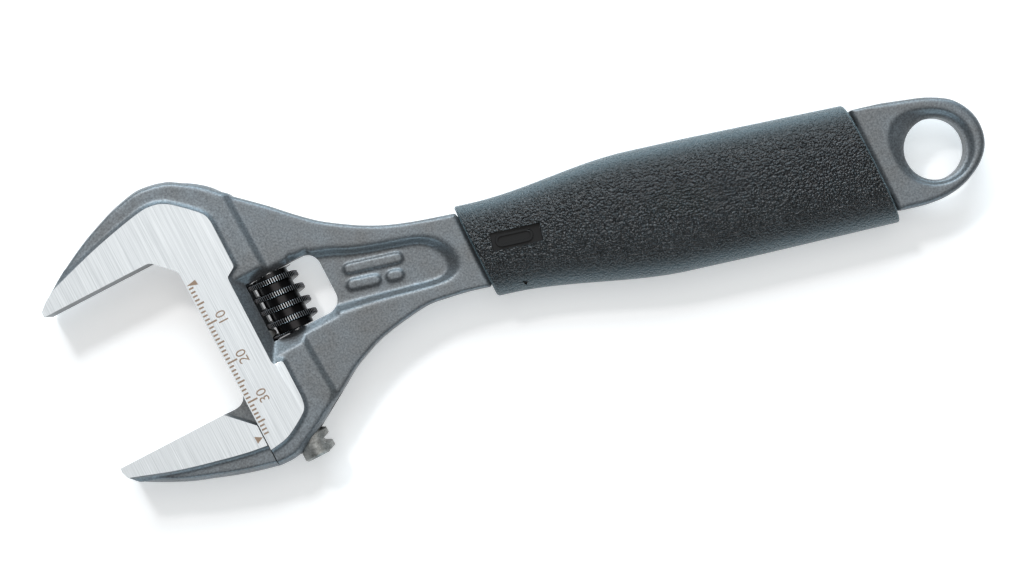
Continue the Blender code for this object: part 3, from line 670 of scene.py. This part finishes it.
def makeJaw():
    start = [fromFace([(6, 3)]), fromFace([(-37, 3)]), fromFace([(-37, -1.6)])]
    blade = outline(*start, fromFace(jaw["back"]), fromFace([(6, -16.6)]))
    shape = bothWays("sliding_jaw_surface", blade, [(0, 1.5), (0.35, 3.4)])
    ledge = outline(*start, fromFace(jaw["back"], 0.75), fromFace([(6, -15.8)]))
    raised = bothWays("pad", outline(*start, fromFace(jaw["pad"])), jaw["padFlare"])
    carve(raised, bothWays("limit", blade, [(0.1, 4.7), (0.5, 7.4)]), "INTERSECT")
    joinUp(shape, bothWays("ledge", ledge, [(0, 4.4), (0.5, 5.2)]), raised)
    forge(shape, jaw["voxel"], jaw["softPasses"])
    grind(shape)
    wall, chamfer, farOut = jaw["wall"], jaw["chamfer"], layout["farOut"]
    cut(shape, "trim", outline(
        fromFace([(-60, 0)]), fromFace([(-60, 40)]), fromFace([(40, 40)]),
        fromFace([(40, -60)]), fromFace([(wall, -60)]), fromFace([(wall, 0)])))
    layers = []
    for shift, height in ((0.0, farOut), (0.0, 6.26), (0.45, body["slotHalf"])):
        corner = fromFace([(-chamfer - 1 + shift, 1), (20, shift - chamfer - 20), (20, 1)])
        layers.append((corner, height))
    layers += [(corner, -height) for corner, height in reversed(layers)]
    carve(shape, plate("corner", layers))
    cut(shape, "tip", outline(
        fromFace([(-33, 5)]), fromFace(jaw["tip"]), fromFace([(-29.0, -6.0)]),
        fromFace([(-29.0, -30)]), fromFace([(-60, -30)]), fromFace([(-60, 5)])))
    boreX, halfWeb = body["boreX"], jaw["halfWeb"]
    web = outline(fromFace([(-6.1, -0.03)]), fromFace(jaw["fillet"]), fromFace([(boreX, 2.8)]),
                  fromFace([(boreX, -16.2)]), fromFace([(-0.5, -15.8)]), fromFace([(-6, -10)]))
    joinUp(shape, plate("web", [(web, -halfWeb), (web, halfWeb)]), makeRack())
    return shape


rack = {
    "radius": 3.85,
    "top": -17.5,
    "bottom": -48.4,
    "rim": 0.5,
    "depth": 1.85,
    "halfSpace": 0.95,       # half width of a tooth space at its middle
    "spaces": range(4, 14),  # counted down from the worm's first ridge
}


def makeRack():
    radius, rim = rack["radius"], rack["rim"]
    rod = turned("rack", [(radius - rim, rack["bottom"]), (radius, rack["bottom"] + rim),
                          (radius, rack["top"] - rim), (radius - rim, rack["top"])], 72)
    rod.data.transform(Matrix.Translation((body["boreX"], 0, 0)))
    tip = body["boreX"] + radius
    root = tip - rack["depth"]
    lean = atan(worm["lead"] / (2 * pi * worm["pitchRadius"]))
    first = worm["phase"] + worm["lead"] / 4
    half = rack["halfSpace"]
    halfSection = [(root + 0.3, half - 0.3), (root, half - 0.7)]
    section = [Vector((x, -y)) for x, y in halfSection]
    section += [Vector(knot) for knot in reversed(halfSection)]
    section += [Vector((tip + 1, half + 0.3)), Vector((tip + 1, -half - 0.3))]
    for index in rack["spaces"]:
        cutter = plate("tooth", [(section, -6), (section, 6)])
        lower = Matrix.Translation((0, first - index * worm["lead"], 0))
        cutter.data.transform(lower @ Matrix.Rotation(lean, 4, "X"))
        carve(rod, cutter)
    rod.data.transform(headInHandle)
    return rod


worm = {
    "radius": 6.05,
    "core": 4.2,
    "lead": 3.2,
    "pitchRadius": 4.5,
    "phase": -7.75,
    "top": -6.1,
    "bottom": -20.1,
    "crest": 0.58,           # half width of the ridge's crest
    "rubbed": 0.13,          # depth of crest that is worn bright
    "serrations": 66,        # round one turn, each drawn with six steps
    "serrationDepth": 0.3,
    "hole": 2.3,
    "counterbore": (3.2, -15.6),
}


def makeWorm():
    core, radius, crest, lead = worm["core"], worm["radius"], worm["crest"], worm["lead"]
    top, bottom = worm["top"], worm["bottom"]
    perTurn = worm["serrations"] * 6
    rings = []
    for step in range(7 * perTurn + 1):
        turn = step / perTurn - 1
        angle = 2 * pi * turn
        wave = cos(2 * pi * (step % 6) / 6)
        high = radius - worm["serrationDepth"] * max(0.0, wave) ** 0.6
        middle = worm["phase"] - turn * lead
        lower = [(core - 0.6, -1.0), (core + 0.12, -0.75), (radius - 0.45, -0.64),
                 (high - 0.12, -crest), (high, 0.14 - crest)]
        profile = lower + [(reach, -along) for reach, along in reversed(lower)]
        rings.append([(reach * sin(angle), middle + along, reach * cos(angle))
                      for reach, along in profile])
    shape = turned("adjusting_worm_surface", [(core, bottom), (core, top)], 128)
    carve(shape, skin("ridge", rings), "UNION")
    carve(shape, turned("trim", [(5.7, bottom), (6.3, bottom + 0.5), (6.3, top - 0.5),
                                 (5.7, top)], 128), "INTERSECT")
    hole = worm["hole"]
    wide, shoulder = worm["counterbore"]
    carve(shape, turned("hole", [(hole, top + 2), (hole, shoulder), (wide, shoulder),
                                 (wide, bottom - 2)], 64))
    return shape


pin = {
    "profile": [(1.6, -2.2), (2.0, -2.6), (2.0, -21.5), (1.9, -21.9), (2.45, -22.4),
                (2.5, -29.9), (2.0, -30.4)],
    "threadTop": -22.6,
    "threadLead": 0.9,
    "threadTurns": 8,
    "driver": (-4, 4, -32, -29.2),
    "driverHalf": 0.4,
}


def makePin():
    shape = turned("worm_pin_surface", pin["profile"], 64)
    rings = []
    for step in range(pin["threadTurns"] * 48 + 1):
        turn = step / 48
        angle = 2 * pi * turn
        middle = pin["threadTop"] - pin["threadLead"] * turn
        rings.append([(reach * sin(angle), middle + along, reach * cos(angle))
                      for reach, along in ((2.1, 0.0), (2.7, -0.4), (2.7, 0.4))])
    carve(shape, skin("thread", rings))
    left, right, low, high = pin["driver"]
    cut(shape, "driver", box(left, right, low, high), pin["driverHalf"])
    return shape


spring = {"top": -16.2, "bottom": -19.8, "coilRadius": 2.6, "wireRadius": 0.3, "turns": 4}


def makeSpring():
    rings = []
    turns = spring["turns"]
    for step in range(turns * 40 + 1):
        share = step / (turns * 40)
        angle = 2 * pi * turns * share
        outward = Vector((sin(angle), 0, cos(angle)))
        along = spring["bottom"] + (spring["top"] - spring["bottom"]) * share
        centre = outward * spring["coilRadius"] + Vector((0, along, 0))
        ring = []
        for side in range(14):
            around = 2 * pi * side / 14
            spoke = outward * cos(around) + Vector((0, sin(around), 0))
            ring.append(centre + spoke * spring["wireRadius"])
        rings.append(ring)
    return skin("worm_spring_surface", rings)


grip = {
    "frontWidth": 22.2,
    "width": 29.9,
    "frontThick": 13.6,
    "thick": 17.3,
    "frontPower": 2.1,       # how square the section is, 2 being an ellipse
    "power": 2.45,
    "swellShare": (0.04, 0.46),
    "drop": 0.2,
    "lip": 0.7,
    "bore": (8.5, 3.5),
    "badge": (-103.6, -91.9, -1.2, 3.0),
    "badgeFloor": 6.05,
    "gate": [(-98.6, -9.1), (-97.4, -9.5), (-97.9, -10.4)],
}


def swell(share):
    start, stop = grip["swellShare"]
    t = min(max((share - start) / (stop - start), 0.0), 1.0)
    return t * t * (3 - 2 * t)


def section(halfWidth, halfHeight, power, sides=120):
    points = []
    for side in range(sides):
        angle = 2 * pi * (side + 0.5) / sides
        across = copysign(abs(cos(angle)) ** (2 / power), cos(angle))
        upward = copysign(abs(sin(angle)) ** (2 / power), sin(angle))
        points.append((halfWidth * across, halfHeight * upward))
    return points


def between(name, share):
    # a size part of the way from the grip's front end to its full swell
    front = grip["front" + name[0].upper() + name[1:]]
    return front + (grip[name] - front) * share


def makeGrip():
    front, rear = layout["gripFrontX"], layout["gripRearX"]
    length = rear - front
    slant = layout["shoulderSlant"]
    lip = grip["lip"]
    turns = [radians(15 * step) for step in range(7)]
    rolled = [(lip * (1 - cos(turn)) / length, lip * (1 - sin(turn))) for turn in turns]
    middle = [(lip + (length - 2 * lip) * step / 110) / length for step in range(1, 110)]
    stations = rolled + [(share, 0.0) for share in middle]
    stations += [(1 - share, shrink) for share, shrink in reversed(rolled)]
    rings = []
    for share, shrink in stations:
        full = swell(share)
        taper = 1.2 * max(share - 0.6, 0.0) + shrink
        width, thick = between("width", full), between("thick", full)
        rim = section(width / 2 - taper, thick / 2 - taper, between("power", full))
        rings.append([(front + share * length - y * slant, y - grip["drop"], z)
                      for y, z in rim])
    for x in (rear, front):
        rings.append([(x - y * slant, y, z) for y, z in section(*grip["bore"], 6)])
    sleeve = skin("grip_sleeve_surface", rings, True)
    # plain badge recess with a raised oval ring, and the small gate mark
    left, right, low, high = grip["badge"]
    corners = box(left, right, low, high)
    middle = (low + high) / 2
    carve(sleeve, plate("badge", [(corners, grip["badgeFloor"]), (inset(corners, -0.15), 12)]))
    ringLeft, ringRight = left + 0.8, right - 1.9
    ovals = [pill(ringLeft + slim, ringRight - slim, middle, 1.6 - slim)
             for slim in (0.0, 0.15, 0.7, 0.55)]
    carve(sleeve, plate("oval", [(ovals[0], 5.7), (ovals[1], 6.5)]), "UNION")
    carve(sleeve, plate("ovalDip", [(ovals[2], 6.1), (ovals[3], 7.6)]))
    gate = [Vector(knot) for knot in grip["gate"]]
    carve(sleeve, plate("gate", [(gate, 3.3), (inset(gate, -0.2), 12)]))
    return sleeve


scale = {
    "minor": 1.4,            # lengths of the lines for 1, 5 and 10 mm
    "middle": 2.0,
    "major": 2.7,
    "last": 38,
    "start": 0.25,
    "halfWidth": 0.21,
    "proud": 0.012,
    "sunk": 0.06,
    "zero": [(0.1, -0.05), (2.65, -0.9), (2.5, 0.4)],
    "pointer": [(-2.06, -37.5), (-2.0, -39.3), (-0.35, -38.5)],
    "figures": (10, 20, 30),
    "figureX": 4.15,
    "figureHeight": 2.3,
}


def markPlates(name, outlines):
    # thin plates just proud of the ground face, each with its own points
    shape = bmesh.new()
    top = layout["halfHead"] + scale["proud"]
    for points in outlines:
        rows = []
        for height in (top - scale["sunk"], top):
            rows.append([shape.verts.new((x, y, height)) for x, y in points])
        for i in range(len(points)):
            j = (i + 1) % len(points)
            shape.faces.new((rows[0][i], rows[0][j], rows[1][j], rows[1][i]))
        shape.faces.new(rows[0][::-1])
        shape.faces.new(rows[1])
    return newObject(name, shape)


def makeFigure(value):
    thick = 0.03
    figure = bpy.data.curves.new(f"scale_figure_{value}", "FONT")
    figure.body = str(value)
    figure.size = scale["figureHeight"] / 0.69
    figure.align_x = "CENTER"
    figure.align_y = "CENTER"
    figure.extrude = thick
    figure.resolution_u = 6
    drawn = bpy.data.objects.new(figure.name, figure)
    bpy.context.scene.collection.objects.link(drawn)
    graph = bpy.context.evaluated_depsgraph_get()
    mesh = bpy.data.meshes.new_from_object(drawn.evaluated_get(graph))
    bpy.data.objects.remove(drawn)
    digits = bpy.data.objects.new(f"scale_figure_{value}", mesh)
    bpy.context.scene.collection.objects.link(digits)
    height = layout["halfHead"] + scale["proud"] - thick
    at = Matrix.Translation((scale["figureX"], -value, height))
    return digits, headFrame @ at @ Matrix.Rotation(radians(90), 4, "Z")


def makeScale(markSteel):
    bars = [scale["zero"]]
    for mark in range(1, scale["last"] + 1):
        size = "major" if mark % 10 == 0 else "middle" if mark % 5 == 0 else "minor"
        half = scale["halfWidth"]
        bars.append(box(scale["start"], scale[size], -mark - half, -mark + half))
    marks = markPlates("jaw_scale_marks", bars)
    dress(marks, markSteel)
    place(marks, headFrame, "root", "forged_steel")
    pointer = markPlates("jaw_pointer_mark", [scale["pointer"]])
    dress(pointer, markSteel)
    place(pointer, headFrame, "jaw", "jaw_steel")
    for value in scale["figures"]:
        digits, matrix = makeFigure(value)
        dress(digits, markSteel)
        place(digits, matrix, "root", "forged_steel")


forgedSteel = forgingMaterial("phosphated drop-forged steel", "#747d84", "#5f5c59", 9.0)
rackSteel = forgingMaterial("worn phosphated rack steel", "#b5b5b1", "#3b3937", 1.6)
groundSteel = groundMaterial()
gripRubber = gripMaterial()
# Machined steel, blacked in hot salts and oiled: deep black with sharp, wet-looking glints.
wormSteel = startMaterial("oiled black oxide worm steel", "#2b2a2b", Metallic=0.95, Roughness=0.26)
# The same steel where thumbs have rubbed the black off: bright bands on the serrations.
crestSteel = startMaterial("black oxide rubbed bright on the crests", "#a5a6a8",
                           Metallic=1.0, Roughness=0.3)
# Turned and drawn steel with nothing on it: plain bright metal with soft highlights.
brightSteel = startMaterial("turned bright steel", "#b9babb", Metallic=1.0, Roughness=0.3)
# The grip's elastomer off an ungrained part of the mould: flat and darker than the grain.
plainRubber = startMaterial("smooth mould inset of the elastomer", "#070708", Roughness=0.55,
                            Specular_IOR_Level=0.3)
# Steel oxidised by a laser: matt brown lines, easy to tell from the bright ground face.
markSteel = startMaterial("laser-annealed scale marks", "#8f7967", Metallic=0.4, Roughness=0.5)

bodyPiece = makeBody()
paintFaces(bodyPiece, [forgedSteel, groundSteel], groundOrForged)
place(bodyPiece, handleFrame, "root", "forged_steel", "forged_body")
smoothShade(bodyPiece)

jawPiece = makeJaw()
paintFaces(jawPiece, [forgedSteel, groundSteel, rackSteel], groundForgedOrRack)
place(jawPiece, handleFrame, "jaw", "jaw_steel", "sliding_jaw")
smoothShade(jawPiece)
print("jaw made")

wormAxis = headFrame @ Matrix.Translation((layout["wormInHead"][0], 0, 0))
wormPiece = makeWorm()
paintFaces(wormPiece, [wormSteel, crestSteel], wormOrCrest)
place(wormPiece, wormAxis, "worm", "worm_steel", "adjusting_worm")
smoothShade(wormPiece)
for piece, slotName, node in ((makePin(), "pin_steel", "worm_pin"),
                              (makeSpring(), "spring_wire", "worm_spring")):
    dress(piece, brightSteel)
    place(piece, wormAxis, "root", slotName, node)
    smoothShade(piece)
print("worm set made")

gripPiece = makeGrip()
paintFaces(gripPiece, [gripRubber, plainRubber], insideBadge)
place(gripPiece, handleFrame, "root", "grip_elastomer", "grip_sleeve")
smoothShade(gripPiece)
makeScale(markSteel)
print("grip and scale made")


studio = {
    "cameraHeight": 0.640,
    "focal": 99.0,
    "turn": -12.5,
    "nadir": (-101.24, -10.2),   # the spot right under the camera, from the hanging hole
    "floorHalf": 3,
    "floorGap": 0.0002,
    "tableGlow": 0.35,
    "fill": 0.15,
    "lamps": {
        "key": {"at": (-0.12, 0.80, 0.72), "size": (0.8, 0.4), "power": 8.0,
                "colour": "#e4f0f8"},
        "top": {"at": (0.0, 0.15, 1.25), "size": (1.0, 1.0), "power": 5.2,
                "colour": "#fffdfa"},
        "drop": {"at": (-0.45, 0.62, 1.0), "size": (0.14, 0.14), "power": 4.0,
                 "colour": "#ffffff"},
        "farRim": {"at": (0.0, 1.0, 0.30), "size": (1.4, 0.36), "power": 8.0,
                   "colour": "#c5e0ee"},
        "nearRim": {"at": (0.1, -1.0, 0.20), "size": (1.4, 0.26), "power": 5.0,
                    "colour": "#c5e0ee"},
    },
}


def makeCamera():
    scene = bpy.context.scene
    lens = bpy.data.cameras.new("camera")
    lens.lens = studio["focal"]
    lens.sensor_width = 36.0
    camera = bpy.data.objects.new("camera", lens)
    scene.collection.objects.link(camera)
    spot = handleFrame @ Vector((*studio["nadir"], layout["halfHead"]))
    camera.location = spot + Vector((0, 0, studio["cameraHeight"]))
    camera.rotation_euler = (0, 0, radians(studio["turn"]))
    scene.camera = camera


def makeFloor():
    shape = bmesh.new()
    half, low = studio["floorHalf"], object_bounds()[0].z - studio["floorGap"]
    shape.faces.new([shape.verts.new((*corner, low)) for corner in box(-half, half, -half, half)])
    floor = newObject("floor", shape)
    # Matt lacquered board, lit a little from within so that it stays clear of grey: shadows
    # under the wrench are the only thing seen on it.
    dress(floor, startMaterial("pale matt lacquered board", "#f4f4f4", Roughness=0.9,
                               Emission_Color=linear("#ffffff"),
                               Emission_Strength=studio["tableGlow"]))


def makeLamps():
    scene = bpy.context.scene
    world = bpy.data.worlds.new("studio")
    world.use_nodes = True
    background = world.node_tree.nodes["Background"]
    background.inputs["Color"].default_value = linear("#eef2f6")
    background.inputs["Strength"].default_value = studio["fill"]
    scene.world = world
    turn = Matrix.Rotation(radians(studio["turn"]), 4, "Z")
    for name, lampSet in studio["lamps"].items():
        light = bpy.data.lights.new(name, "AREA")
        light.shape = "RECTANGLE"
        light.size, light.size_y = lampSet["size"]
        light.energy = lampSet["power"]
        light.color = linear(lampSet["colour"])[:3]
        lamp = bpy.data.objects.new(name, light)
        scene.collection.objects.link(lamp)
        lamp.location = turn @ Vector(lampSet["at"])
        lamp.rotation_euler = (-lamp.location).to_track_quat("-Z", "Y").to_euler()
    scene.view_settings.view_transform = "Standard"


makeCamera()
makeFloor()
makeLamps()
print("studio set")
